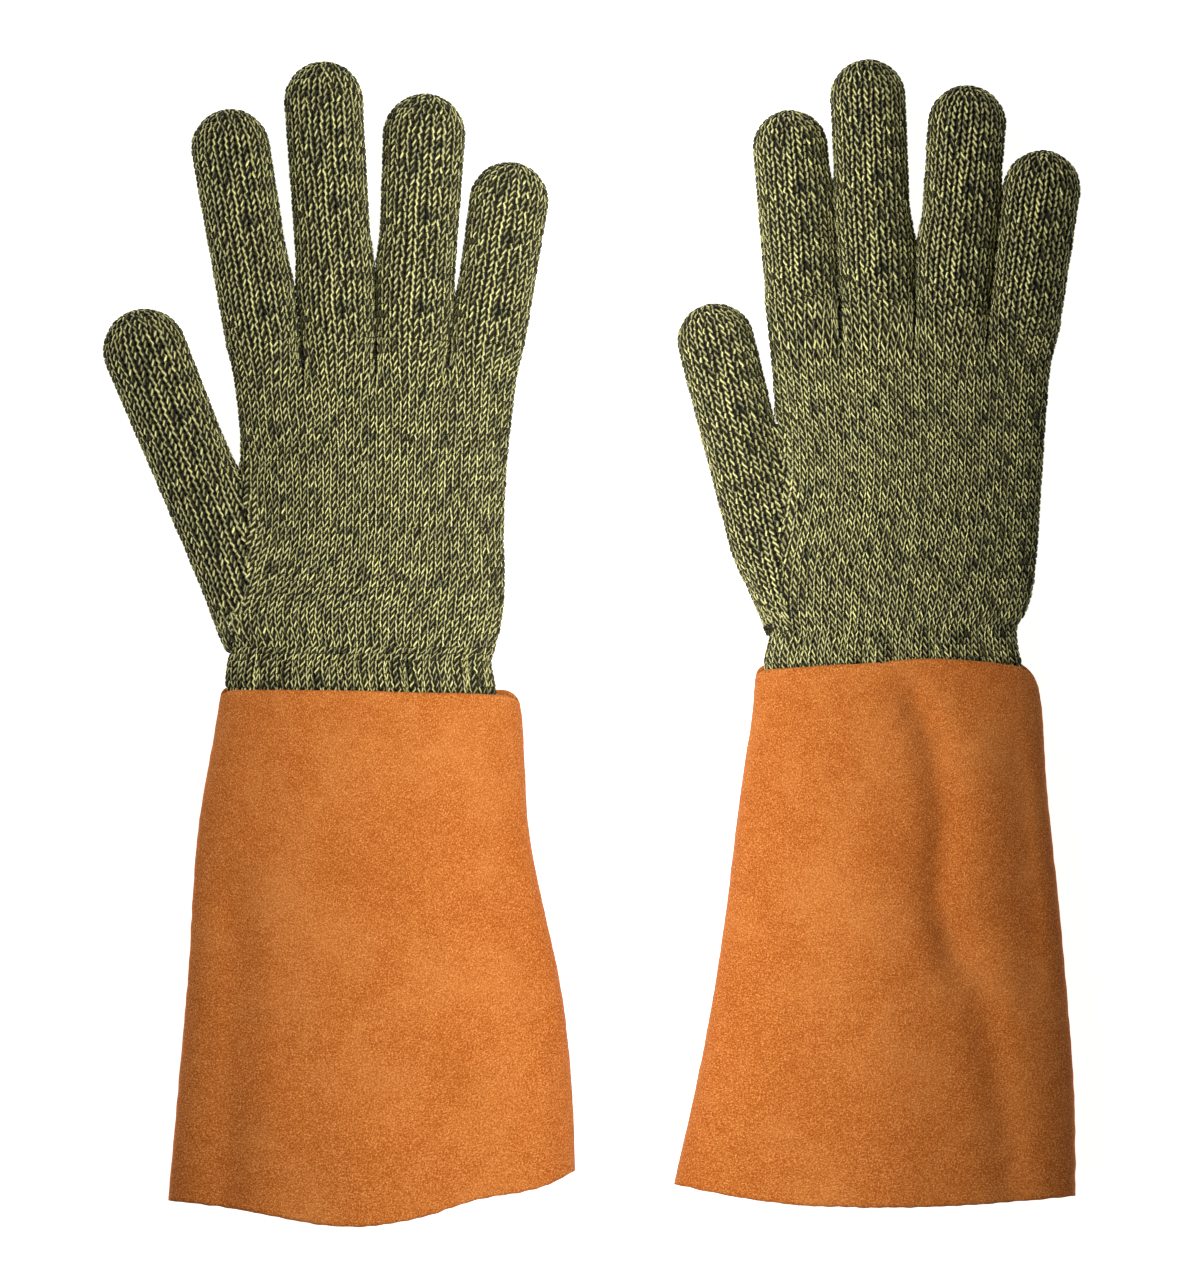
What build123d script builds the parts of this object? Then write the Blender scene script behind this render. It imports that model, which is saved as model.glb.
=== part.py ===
"""A pair of heavy knitted work gloves with long leather gauntlet cuffs.

The pair lies on a flat surface at z = 0 with the fingers along +Y and the cuffs along -Y.
The left glove lies palm up and the right glove lies palm down.  All sizes are in millimetres.
"""
from build123d import *
from dataclasses import dataclass
from math import cos, hypot, radians, sin, tan
import os

# Materials
knit_wall = 2.0
leather_wall = 1.4
thread_radius = 0.6

# How the tubes lie and bend
floor_sink = 0.8        # depth of the flat that the surface presses into each round underside
hinge_depth = 6.0       # of the finger hinges below the palm-side skin
joint_gap = 0.35        # of each of two tubes from the hinge line between them
thumb_gap = 0.8         # between the thumb's sides and the palm
crotch_clearance = 3.0  # past each side of a finger, where the palm is cleared ahead of its fold
knuckle_range = 60.0    # degrees that a finger bends at its base
finger_range = 50.0     # degrees that a finger bends at its middle joint
wrist_range = 40.0      # degrees that the gauntlet folds at the wrist
fold_allowance = 1.5    # degrees that every fold notch is wider than its range

# Cutting
overrun = 1.0           # of a tube past the plane that trims it
cut_reach = 60.0        # of a trimming cut beyond a hinge line
cut_depth = 40.0        # of a trimming cut above and below a hinge line
finger_cut_width = 60.0
hand_cut_width = 200.0

# Finger tubes
middle_joint = 0.52     # place of the middle joint along the whole finger
dome_angles = (15, 30, 45, 60, 72, 82)
thumb_root = 34.0       # length of the thumb's root inside the palm
root_end_share = 0.38   # half width of the root's end, as a share of the thumb's base width
root_end_thinning = 2.0
root_swell_share = 0.45 # of the root's length that has the thumb's full section

# Wrist and gauntlet
wrist_low, wrist_high = 4.5, 27.5
wrist_hinge_depth = 8.0
cuff_sink = 0.3
cuff_top_height = 32.0
cuff_hem_height = 38.0
cuff_length = 200.0     # run over which the cuff grows from its top height to its hem height
wrist_seam_band = 1.2
seam_inset = 3.2        # of the side seams' thread from the cuff's outline


@dataclass
class Finger:
    """A knitted finger: its base and tip centres in plan, widths there, and thickness."""
    name: str
    base: tuple
    tip: tuple
    base_width: float
    tip_width: float
    thickness: float

    def direction(self):
        return Vector(self.tip[0] - self.base[0], self.tip[1] - self.base[1], 0).normalized()

    def across(self):
        return Vector(0, 0, 1).cross(self.direction())

    def centre_height(self):
        return self.thickness / 2 - floor_sink

    def tip_centre(self):
        """Distance from the base to the centre of the tip's dome."""
        return hypot(self.tip[0] - self.base[0], self.tip[1] - self.base[1])

    def length(self):
        return self.tip_centre() + self.tip_width / 2

    def middle(self):
        return middle_joint * self.length()

    def half_width(self, distance):
        share = min(distance / self.tip_centre(), 1)
        return (self.base_width + (self.tip_width - self.base_width) * share) / 2

    def point(self, distance, height):
        along = self.direction() * distance
        return Vector(self.base[0] + along.X, self.base[1] + along.Y, height)

    def hinge(self, distance, palm_side):
        """Centre of the hinge line at a distance along the finger."""
        return self.point(distance, self.centre_height() + palm_side * (self.thickness / 2 - hinge_depth))


@dataclass
class Section:
    """A flat oval cross-section of the hand, wrist or cuff, square to Y."""
    y: float
    left: float
    right: float
    low: float
    high: float


@dataclass
class Glove:
    """One glove; palm_side is 1 when the palm faces up and -1 when it faces down."""
    side: str
    palm_side: int
    palm: list
    wrist: list
    cuff: list
    cuff_outline: list
    hem: list
    thumb: Finger
    fingers: list


left_glove = Glove(
    side="left",
    palm_side=1,
    palm=[
        Section(-2.0, -123.5, -33.3, wrist_low, wrist_high),
        Section(9, -125.0, -31.0, 2, 27),
        Section(35, -119.0, -29.5, -floor_sink, 26),
        Section(59, -119.5, -28.5, -floor_sink, 25),
        Section(100, -124.5, -23.5, -floor_sink, 22),
        Section(114, -126.5, -21.5, -floor_sink, 21),
    ],
    wrist=[
        Section(-2.0, -123.5, -33.3, wrist_low, wrist_high),
        Section(-12, -125.0, -30.5, 3.2, 28.8),
        Section(-36, -122.0, -32.0, 4.2, 27.8),
    ],
    cuff=[
        Section(-14, -127.0, -24.6, -cuff_sink, cuff_top_height),
        Section(-65, -134.9, -20.9, -cuff_sink, 34),
        Section(-120, -138.8, -9.8, -cuff_sink, 36),
        Section(-160, -142.2, -5.8, -cuff_sink, 37),
        Section(-204, -146.2, -5.0, -cuff_sink, cuff_hem_height),
    ],
    cuff_outline=[(-148, -18.6), (-104, -18.2), (-60, -19.2), (-3, -20.6)],
    hem=[(-3, -180.2), (-17, -187), (-38, -191), (-59, -197.3), (-81, -200.4), (-124, -194), (-148, -191.6)],
    thumb=Finger("thumb", (-127.5, 37), (-155.4, 101), 27.0, 27.2, 21.0),
    fingers=[
        Finger("index", (-112.0, 102.5), (-123.3, 169.9), 25.0, 26.8, 21.0),
        Finger("middle", (-86.6, 103.5), (-91.9, 186.6), 25.0, 26.2, 21.0),
        Finger("ring", (-61.2, 103.5), (-57.6, 174.8), 25.0, 27.6, 21.0),
        Finger("little", (-35.8, 102.5), (-28.3, 151.8), 25.0, 26.6, 20.4),
    ],
)

right_glove = Glove(
    side="right",
    palm_side=-1,
    palm=[
        Section(3.5, 62.2, 147.0, wrist_low, wrist_high),
        Section(14, 61.0, 152.0, 2, 27),
        Section(35, 64.0, 154.0, -floor_sink, 26),
        Section(60, 66.5, 155.8, -floor_sink, 25),
        Section(106, 60.5, 161.0, -floor_sink, 22),
        Section(130, 57.0, 165.0, -floor_sink, 21),
    ],
    wrist=[
        Section(3.5, 62.2, 147.0, wrist_low, wrist_high),
        Section(-5, 60.0, 148.6, 3.2, 28.8),
        Section(-30, 62.5, 147.0, 4.2, 27.8),
    ],
    cuff=[
        Section(-4, 56.8, 152.6, -cuff_sink, cuff_top_height),
        Section(-51, 51.6, 157.0, -cuff_sink, 34),
        Section(-100, 45.3, 162.0, -cuff_sink, 36),
        Section(-150, 36.7, 166.0, -cuff_sink, 37),
        Section(-197, 26.0, 166.8, -cuff_sink, cuff_hem_height),
    ],
    cuff_outline=[(24, -12.6), (89, -9.0), (124, -7.2), (170, -12.8)],
    hem=[(170, -190.6), (127, -193), (93, -193.6), (65, -193), (24, -186.5)],
    thumb=Finger("thumb", (59.4, 38), (43.0, 103.4), 25.2, 26.2, 21.0),
    fingers=[
        Finger("index", (72.6, 118.5), (68.8, 169.8), 25.4, 26.2, 21.0),
        Finger("middle", (98.6, 117.0), (95.5, 187.2), 25.4, 26.4, 21.0),
        Finger("ring", (124.6, 115.0), (129.6, 177.8), 25.4, 27.4, 21.0),
        Finger("little", (150.6, 112.0), (155.6, 155.8), 25.4, 26.6, 20.4),
    ],
)


def finger_plane(finger, distance):
    """A plane square to the finger, with its X across the finger."""
    return Plane(
        origin=finger.point(distance, finger.centre_height()),
        x_dir=finger.across(),
        z_dir=finger.direction(),
    )


def oval_loft(sections, inset, mode):
    """Loft the flat ovals; an inset loft runs on past both ends, so that it cuts them open."""
    past_end = overrun if inset else 0
    outward = 1 if sections[0].y > sections[-1].y else -1
    ends = {0: outward * past_end, len(sections) - 1: -outward * past_end}
    ovals = []
    for number, section in enumerate(sections):
        width = section.right - section.left - 2 * inset
        height = section.high - section.low - 2 * inset
        with BuildSketch(Plane.XZ.offset(-section.y - ends.get(number, 0))) as oval:
            with Locations(((section.left + section.right) / 2, (section.low + section.high) / 2)):
                SlotOverall(width, height)
        ovals.append(oval.sketch.face())
    loft(ovals, mode=mode)


def ellipse_loft(finger, sizes, inset, mode):
    """Loft ellipses given as (distance, half width, half thickness) along a finger."""
    ellipses = []
    for distance, half_width, half_thickness in sizes:
        with BuildSketch(finger_plane(finger, distance)) as ellipse:
            Ellipse(half_width - inset, half_thickness - inset)
        ellipses.append(ellipse.sketch.face())
    loft(ellipses, ruled=True, mode=mode)


def tube_sizes(finger, start, end):
    half = finger.thickness / 2
    return [(distance, finger.half_width(distance), half) for distance in (start, (start + end) / 2, end)]


def tip_sizes(finger, start, inset):
    """Sizes of the closed end of a finger, whose dome is a quarter ellipse."""
    radius = finger.tip_width / 2
    scale_down = (radius - inset) / radius
    sizes = tube_sizes(finger, start, finger.tip_centre())
    for angle in dome_angles:
        reach = finger.tip_centre() + radius * scale_down * sin(radians(angle))
        half_width = (radius - inset) * cos(radians(angle)) + inset
        half_thickness = (finger.thickness / 2 - inset) * cos(radians(angle)) + inset
        sizes.append((reach, half_width, half_thickness))
    return sizes


def fold_cut(hinge, direction, width, fold_side, fold_range, towards):
    """Cut away all that lies on one side of a hinge line, with half of the fold's notch.

    fold_side is 1 when the fold closes above the hinge and -1 below; towards is 1 to clear
    the space ahead of the hinge and -1 to clear the space behind it.
    """
    notch = cut_depth * tan(radians(fold_range / 2 + fold_allowance))
    near = -joint_gap * towards
    side_plane = Plane(origin=hinge, x_dir=direction, z_dir=direction.cross(Vector(0, 0, 1)))
    with BuildSketch(side_plane) as cleared:
        with BuildLine():
            Polyline(
                (near, -cut_depth * fold_side),
                (near, 0),
                (near - notch * towards, cut_depth * fold_side),
                (cut_reach * towards, cut_depth * fold_side),
                (cut_reach * towards, -cut_depth * fold_side),
                close=True,
            )
        make_face()
    extrude(cleared.sketch, amount=width / 2, both=True, mode=Mode.SUBTRACT)


def rest_on_surface():
    split(bisect_by=Plane.XY, keep=Keep.TOP)


def wrist_hinge(glove):
    pinch = glove.palm[0]
    return Vector((pinch.left + pinch.right) / 2, pinch.y, pinch.high - wrist_hinge_depth)


def make_palm(glove):
    """The hand of the glove: a flat tube with the root of the thumb beside it."""
    thumb = glove.thumb
    half = thumb.thickness / 2
    root = [
        (-thumb_root, root_end_share * thumb.base_width, half - root_end_thinning),
        (-thumb_root * root_swell_share, thumb.base_width / 2, half),
        (overrun, thumb.base_width / 2, half),
    ]
    with BuildPart() as palm:
        oval_loft(glove.palm, 0, Mode.ADD)
        ellipse_loft(thumb, root, 0, Mode.ADD)
        oval_loft(glove.palm, knit_wall, Mode.SUBTRACT)
        ellipse_loft(thumb, root, knit_wall, Mode.SUBTRACT)
        for finger in [thumb] + glove.fingers:
            hinge = finger.hinge(0, glove.palm_side)
            beside = thumb_gap if finger is thumb else crotch_clearance
            width = finger.base_width + 2 * beside
            fold_cut(hinge, finger.direction(), width, glove.palm_side, knuckle_range, 1)
        fold_cut(wrist_hinge(glove), Vector(0, 1, 0), hand_cut_width, 1, wrist_range, -1)
        rest_on_surface()
    return palm


def make_wrist(glove):
    """The gathered wrist of the knitted hand, whose end is sewn inside the cuff."""
    with BuildPart() as wrist:
        oval_loft(glove.wrist, 0, Mode.ADD)
        oval_loft(glove.wrist, knit_wall, Mode.SUBTRACT)
        fold_cut(wrist_hinge(glove), Vector(0, 1, 0), hand_cut_width, 1, wrist_range, 1)
    return wrist


def make_finger_base(glove, finger):
    """The open tube between the two joints of a finger."""
    outside = tube_sizes(finger, -overrun, finger.middle() + overrun)
    inside = tube_sizes(finger, -2 * overrun, finger.middle() + 2 * overrun)
    with BuildPart() as base:
        ellipse_loft(finger, outside, 0, Mode.ADD)
        ellipse_loft(finger, inside, knit_wall, Mode.SUBTRACT)
        for distance, fold, towards in ((0, knuckle_range, -1), (finger.middle(), finger_range, 1)):
            hinge = finger.hinge(distance, glove.palm_side)
            fold_cut(hinge, finger.direction(), finger_cut_width, glove.palm_side, fold, towards)
        rest_on_surface()
    return base


def make_finger_tip(glove, finger):
    """The closed end of a finger."""
    with BuildPart() as tip:
        outside = tip_sizes(finger, finger.middle() - overrun, 0)
        ellipse_loft(finger, outside, 0, Mode.ADD)
        inside = tip_sizes(finger, finger.middle() - 2 * overrun, knit_wall)
        ellipse_loft(finger, inside, knit_wall, Mode.SUBTRACT)
        hinge = finger.hinge(finger.middle(), glove.palm_side)
        fold_cut(hinge, finger.direction(), finger_cut_width, glove.palm_side, finger_range, -1)
        rest_on_surface()
    return tip


def cuff_middle_height(y):
    return (cuff_top_height + (cuff_hem_height - cuff_top_height) * min(max(-y / cuff_length, 0), 1)) / 2


def make_panel(glove, keep):
    """One leather panel of the cuff: the half of its shell above or below the side seams."""
    seam_plane = Plane(
        origin=(0, 0, cuff_middle_height(0)),
        z_dir=(0, (cuff_hem_height - cuff_top_height) / 2 / cuff_length, 1),
    )
    with BuildPart() as panel:
        oval_loft(glove.cuff, 0, Mode.ADD)
        oval_loft(glove.cuff, leather_wall, Mode.SUBTRACT)
        with BuildSketch():
            with BuildLine():
                Spline(*glove.cuff_outline)
                Line(glove.cuff_outline[-1], glove.hem[0])
                Spline(*glove.hem)
                Line(glove.hem[-1], glove.cuff_outline[0])
            make_face()
        extrude(amount=cut_reach, both=True, mode=Mode.INTERSECT)
        split(bisect_by=seam_plane, keep=keep)
        rest_on_surface()
    return panel


def make_side_seam(glove, edge):
    """The run of thread inside a side of the cuff; edge is 'left' or 'right'."""
    inward = seam_inset if edge == "left" else -seam_inset
    stops = [(getattr(section, edge) + inward, section.y) for section in glove.cuff[1:-1]]
    with BuildPart() as seam:
        with BuildLine() as path:
            Polyline([(x, y, cuff_middle_height(y)) for x, y in stops])
        with BuildSketch(Plane(origin=path.line @ 0, z_dir=path.line % 0)):
            Circle(thread_radius)
        sweep(path=path.line, transition=Transition.ROUND)
    return seam


def make_wrist_seam(glove):
    """The band of thread that sews the wrist into the mouth of the cuff."""
    inner = glove.wrist[-1]
    width = inner.right - inner.left
    height = inner.high - inner.low
    with BuildPart() as seam:
        with BuildSketch(Plane.XZ.offset(-inner.y)):
            with Locations(((inner.left + inner.right) / 2, (inner.low + inner.high) / 2)):
                SlotOverall(width + 2 * wrist_seam_band, height + 2 * wrist_seam_band)
                SlotOverall(width - knit_wall, height - knit_wall, mode=Mode.SUBTRACT)
        extrude(amount=wrist_seam_band)
    return seam


def glove_parts(glove):
    """Every piece of one glove, by the name of its node."""
    side = glove.side
    upper, lower = ("palm", "back") if glove.palm_side == 1 else ("back", "palm")
    parts = {
        f"{side}_palm": make_palm(glove),
        f"{side}_wrist": make_wrist(glove),
        f"{side}_cuff_{upper}_panel": make_panel(glove, Keep.TOP),
        f"{side}_cuff_{lower}_panel": make_panel(glove, Keep.BOTTOM),
        f"{side}_cuff_thumb_seam": make_side_seam(glove, "left"),
        f"{side}_cuff_little_seam": make_side_seam(glove, "right"),
        f"{side}_wrist_seam": make_wrist_seam(glove),
    }
    for finger in [glove.thumb] + glove.fingers:
        parts[f"{side}_{finger.name}_base"] = make_finger_base(glove, finger)
        parts[f"{side}_{finger.name}_tip"] = make_finger_tip(glove, finger)
    return parts


os.makedirs("parts", exist_ok=True)
pieces = {}
for glove in (left_glove, right_glove):
    pieces.update(glove_parts(glove))
for name, piece in pieces.items():
    piece.part.label = name
    export_step(piece.part, f"parts/{name}.step")
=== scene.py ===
"""The looks of a pair of knitted work gloves with suede gauntlet cuffs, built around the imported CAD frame."""
from dataclasses import dataclass
from math import pi

import bpy
import numpy as np
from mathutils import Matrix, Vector


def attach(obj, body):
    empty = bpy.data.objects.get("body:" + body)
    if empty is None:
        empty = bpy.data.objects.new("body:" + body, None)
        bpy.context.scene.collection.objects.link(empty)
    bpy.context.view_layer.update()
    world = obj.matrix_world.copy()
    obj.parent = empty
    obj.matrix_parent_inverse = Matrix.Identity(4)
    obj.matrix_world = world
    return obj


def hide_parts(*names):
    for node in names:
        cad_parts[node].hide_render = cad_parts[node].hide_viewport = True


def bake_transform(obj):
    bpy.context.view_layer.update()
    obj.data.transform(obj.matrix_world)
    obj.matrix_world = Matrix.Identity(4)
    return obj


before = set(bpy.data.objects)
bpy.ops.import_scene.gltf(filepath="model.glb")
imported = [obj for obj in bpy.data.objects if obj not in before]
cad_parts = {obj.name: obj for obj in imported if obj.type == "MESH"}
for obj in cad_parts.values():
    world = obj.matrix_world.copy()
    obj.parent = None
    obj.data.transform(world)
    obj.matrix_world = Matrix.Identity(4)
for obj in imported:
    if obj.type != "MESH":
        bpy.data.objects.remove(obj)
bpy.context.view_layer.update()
bpy.context.scene.view_settings.view_transform = "Standard"

# ---- sizes, in millimetres
MM = 0.001

# Knit
COURSE = 2.25  # height of a row of stitches
PALM_WALES = 74  # columns of stitches round the hand
FINGER_WALES = 20  # columns of stitches round a finger
FINGER_FACE_WALES = 9  # columns that a finger shares with one face of the palm
LOOP_HALF_HEIGHT = 0.75  # of a loop, in rows
PALM_SWING = 0.245  # sideways swing of a loop, in columns
FINGER_SWING = 0.205
LOOP_DEPTH = 0.60  # of a loop's legs in front of its head
LOOP_UNEVEN = 0.07, 0.035, 0.10  # spread of the loops' heights, places and depths
YARN_DEPTH = 0.58  # half the yarn's thickness, square to the cloth
YARN_SHARE = 0.228  # half the yarn's width, in columns
YARN_WIDEST = 0.92  # half the width of the widest yarn
LOOP_POINTS = 10  # points along one loop of yarn
YARN_SIDES = 5
TWIST_EASE = 0.350  # how much slower the plies turn along a leg than round a head
CLOTH = 1.15  # from the middle of the cloth to its outside
BACKING_INSET = 0.9  # from the middle of the loops in to the cloth behind them
OVAL_POWER = 2.5  # fullness of the hand's section
THUMB_ROOT = 40.0  # length of the thumb's root below its base
THUMB_OVERLAP = 0.4  # how far the palm and the thumb run past the line where they meet
THUMB_HIDDEN = 2.5  # how far each runs on inside the other, seen only when the thumb folds
WEB = 9.0  # size of the soft hollow between the thumb and the palm
UNION_STEPS = 4  # of the search for the hollow's surface
PARTING = 15.0  # over which neighbouring fingers part above the reach where they touch
FINGERS_SHOW = 19.0  # how far below their roots the fingers begin to shape the palm
FULL_ROW = 0.86  # width of a row over a fingertip, as a share of the finger's, above which no columns are dropped
FEWEST_WALES = 5

# Leather
LEATHER = 1.4
TURNED_IN = 12.0  # leather folded inside the mouth of the cuff
EDGE_BEND = 1.3  # radius of the bend at a side seam
SEAM_ALLOWANCE = 5.0  # leather turned in along a side seam
SEAM_GAP = 0.12  # from the seam's middle plane to each panel
OVAL_LEATHER = 2.25  # fullness of the cuff's section
PANEL_COLUMNS = 118
PANEL_ROWS = 132
PANEL_MIDDLE_ROW = 60  # row whose length stands for the panel's width
PANEL_TOP = -20.0  # y of the section at a panel's mouth
PANEL_LENGTH = 175.0  # from that section to the one at its hem
STITCH = 3.2  # length of a stitch in the leather
STITCH_RADIUS = 0.36
THREAD_SIDES = 6
SEAM_INSET = 3.4  # from a side seam's edge in to its stitches
SEAM_DROP = 0.15  # how far the panels meet below half the cuff's height
HIGHEST_FOLD = 2.2  # limit on how far folds stand out together
TURNED_STEP = 1.2  # between rows of the leather that is turned in
MOUTH_ROW = 1.33  # between rows of the panel at its mouth
INNER_UV = 400  # sets the grain inside the leather apart from the grain outside
ZIGZAGS = 56  # in the seam round the wrist

# Hand
FLOOR_SINK = 0.8  # how far the fingers settle under their own weight
WRIST_MIDDLE = 16.0  # height that the wrist's gathers stand out from
ROOT_RISE = 4.0  # how much higher the end of the thumb's root lies than the thumb
NEAR_PALM = 34.0  # reach of the thumb up to which the palm may touch it
WRIST_OVERLAP = 1.2  # as THUMB_OVERLAP, at the wrist
THUMB_HIDDEN_TOP = -12.0  # reach above which the thumb's root runs on inside the palm
HIDDEN_COURSES = 3  # courses of a finger that start below its base
KNUCKLE = 0.52  # place of a finger's middle joint, as a share of its length
PIECE_SPLIT = 0.58  # where a finger's base piece ends, as a share of the way to that joint

rng = np.random.default_rng(7)


# ---- plan of the two gloves
@dataclass
class Finger:
    """A finger in plan: base and tip centres, widths there, and thickness."""
    name: str
    base: tuple
    tip: tuple
    base_width: float
    tip_width: float
    thickness: float
    left_touch: tuple = (1.0, 0.0)  # reach to which it touches its neighbour, and how far it swells there
    right_touch: tuple = (1.0, 0.0)

    def __post_init__(self):
        start, end = np.array(self.base, float), np.array(self.tip, float)
        self.start = start
        self.length = float(np.linalg.norm(end - start))
        self.along = (end - start) / self.length
        self.across = np.array([self.along[1], -self.along[0]])
        self.height = self.thickness / 2 - FLOOR_SINK
        self.knuckle = KNUCKLE * (self.length + self.tip_width / 2)

    def local(self, p):
        """Reach of points along the finger, and their distances to its right."""
        offset = p[..., :2] - self.start
        return offset @ self.along, offset @ self.across

    def place(self, reach, side, z):
        """Points at a reach along the finger, a distance to its right, and a height."""
        x = self.start[0] + self.along[0] * reach + self.across[0] * side
        y = self.start[1] + self.along[1] * reach + self.across[1] * side
        return np.stack([x, y, z], -1)


@dataclass
class Glove:
    """A glove in plan, lying on the floor.

    palm and wrist rows are (y, left, right, low, high), cuff rows (y, left, right, height), and mouth and hem are
    the points (x, y) of the leather's two edges.
    """
    side: str
    palm_up: bool
    palm: list
    wrist: list
    cuff: list
    mouth: list
    hem: list
    thumb: Finger
    fingers: list
    root_share: float  # width of the thumb's root at its end, as a share of the thumb's
    root_full: float  # reach at which the root has its full width
    spread: float = 12.7  # half the width of a finger where it goes on into the palm


LEFT = Glove(
    side="left",
    palm_up=True,
    palm=[
        (-2, -123.5, -32.2, 4.5, 27.5), (9, -126.5, -29.9, 2.0, 27.0), (22, -122.5, -29.1, 0.4, 26.5),
        (35, -119.5, -29.5, 0.0, 26.0), (59, -119.5, -28.5, 0.0, 25.0), (80, -121.5, -26.4, 0.0, 23.6),
        (104, -125.0, -23.3, 0.0, 21.5),
    ],
    wrist=[
        (-2, -123.5, -32.2, 4.5, 27.5), (-7, -124.9, -33.8, 3.4, 28.6), (-14, -125.6, -32.6, 3.2, 29.2),
        (-22, -123.5, -31.8, 4.0, 28.2), (-36, -122.0, -32.0, 4.2, 27.8),
    ],
    cuff=[
        (-14, -127.0, -24.6, 32), (-27, -128.6, -23.2, 32.6), (-65, -134.9, -20.9, 34),
        (-120, -138.8, -9.8, 36), (-160, -142.2, -5.8, 37), (-204, -146.2, -5.0, 38),
    ],
    mouth=[(-148, -18.8), (-104, -18.2), (-60, -19.0), (-3, -20.8)],
    hem=[(-148, -191.6), (-124, -194), (-81, -200.2), (-59, -197.3), (-38, -191), (-17, -187), (-3, -180.4)],
    thumb=Finger("thumb", (-127.5, 37), (-153.2, 99.9), 27.0, 29.4, 21.0),
    fingers=[
        Finger("index", (-112.6, 102.5), (-123.8, 169.5), 26.0, 27.6, 21.0, right_touch=(17, 0.95)),
        Finger("middle", (-86.6, 103.5), (-91.8, 185.9), 25.8, 27.6, 21.0, (17, 0.95), (24, 1.15)),
        Finger("ring", (-61.0, 103.5), (-57.2, 174.2), 25.8, 28.8, 21.0, (24, 1.15), (9, 0.80)),
        Finger("little", (-35.4, 102.5), (-28.0, 151.3), 26.0, 27.6, 20.4, left_touch=(9, 0.80)),
    ],
    root_share=0.88,
    root_full=-14.0,
)

RIGHT = Glove(
    side="right",
    palm_up=False,
    palm=[
        (3.5, 62.2, 146.7, 4.5, 27.5), (14, 60.5, 151.5, 2.0, 27.0), (26, 61.0, 153.5, 0.4, 26.4),
        (40, 64.5, 154.5, 0.0, 26.0), (60, 66.3, 155.8, 0.0, 25.0), (90, 63.5, 158.0, 0.0, 23.4),
        (118, 59.5, 162.0, 0.0, 21.5),
    ],
    wrist=[
        (3.5, 62.2, 146.7, 4.5, 27.5), (-2, 60.4, 147.2, 3.4, 28.8), (-8, 59.4, 148.4, 3.2, 29.2),
        (-15, 61.0, 148.0, 4.0, 28.2), (-30, 62.5, 147.0, 4.2, 27.8),
    ],
    cuff=[
        (-4, 56.8, 152.6, 32), (-22, 55.6, 155.2, 32.6), (-51, 51.6, 157.0, 34),
        (-100, 45.3, 162.0, 36), (-150, 36.7, 166.0, 37), (-197, 26.0, 166.8, 38),
    ],
    mouth=[(24, -13.2), (89, -9.4), (124, -7.6), (170, -13.4)],
    hem=[(24, -186.0), (65, -192.4), (93, -193.6), (127, -193), (170, -190.0)],
    thumb=Finger("thumb", (59.6, 38), (43.2, 103.0), 26.0, 27.0, 21.0),
    fingers=[
        Finger("index", (72.6, 118.5), (68.8, 169.8), 25.4, 26.2, 21.0, right_touch=(33, 1.18)),
        Finger("middle", (98.6, 117.0), (95.5, 187.2), 25.4, 26.4, 21.0, (33, 1.18), (18, 1.80)),
        Finger("ring", (124.6, 115.0), (129.6, 177.8), 25.4, 27.4, 21.0, (18, 1.80), (36, 0.95)),
        Finger("little", (149.6, 112.0), (155.5, 155.7), 25.4, 26.8, 20.4, left_touch=(36, 0.95)),
    ],
    spread=12.9,
    root_share=0.42,
    root_full=-2.0,
)


def smoothstep(x, low, high):
    """0 below low, 1 above high, and a smooth rise between."""
    t = np.clip((x - low) / (high - low), 0, 1)
    return t * t * (3 - 2 * t)


def curve(rows, column, at):
    """A smooth cubic curve through one column of given rows."""
    rows = sorted(rows)
    x = np.array([row[0] for row in rows], float)
    y = np.array([row[column] for row in rows], float)
    step = np.diff(x)
    slope = np.diff(y) / step
    tangent = np.concatenate([[slope[0]], (slope[:-1] + slope[1:]) / 2, [slope[-1]]])
    at = np.clip(at, x[0], x[-1])
    i = np.clip(np.searchsorted(x, at) - 1, 0, len(step) - 1)
    t = (at - x[i]) / step[i]
    return (
        y[i] * (1 + 2 * t) * (1 - t) ** 2
        + step[i] * tangent[i] * t * (1 - t) ** 2
        + y[i + 1] * t * t * (3 - 2 * t)
        + step[i] * tangent[i + 1] * t * t * (t - 1)
    )


def run_along(points):
    """Distance along a line of points to each of them, or along each column of a grid."""
    steps = np.linalg.norm(np.diff(points, axis=0), axis=-1)
    return np.concatenate([np.zeros((1,) + steps.shape[1:]), np.cumsum(steps, 0)])


def unit(vectors):
    """The same directions, with length one."""
    return vectors / np.maximum(np.linalg.norm(vectors, axis=-1, keepdims=True), 1e-9)


# ---- smooth waves instead of image noise
class Waves:
    """A sum of seeded sine waves over the plane: gentle unevenness of about unit height."""

    def __init__(self, seed, length, count=9):
        draw = np.random.default_rng(seed)
        angle = draw.uniform(0, 2 * pi, count)
        scale = 2 * pi / (length * draw.uniform(0.7, 1.6, count))
        self.k = np.stack([np.cos(angle), np.sin(angle)], 1) * scale[:, None]
        self.phase = draw.uniform(0, 2 * pi, count)

    def __call__(self, x, y):
        total = 0
        for (kx, ky), phase in zip(self.k, self.phase):
            total = total + np.sin(kx * x + ky * y + phase)
        return total / np.sqrt(len(self.k) / 2)


# ---- surfaces of the knit
def squared_off(wave, power):
    """A sine or cosine reshaped so that it draws a fuller oval than a circle."""
    return np.sign(wave) * np.abs(wave) ** (2 / power)


def oval_table(ratio):
    """Angle of a flat oval against its share of the way round, for a width-to-height ratio."""
    angle = np.linspace(0, 2 * pi, 721)
    x = ratio * squared_off(np.cos(angle), OVAL_POWER)
    z = squared_off(np.sin(angle), OVAL_POWER)
    run = np.concatenate([[0], np.cumsum(np.hypot(np.diff(x), np.diff(z)))])
    return run / run[-1], angle


OVAL_SHARE, OVAL_ANGLE = oval_table(4.0)


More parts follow.
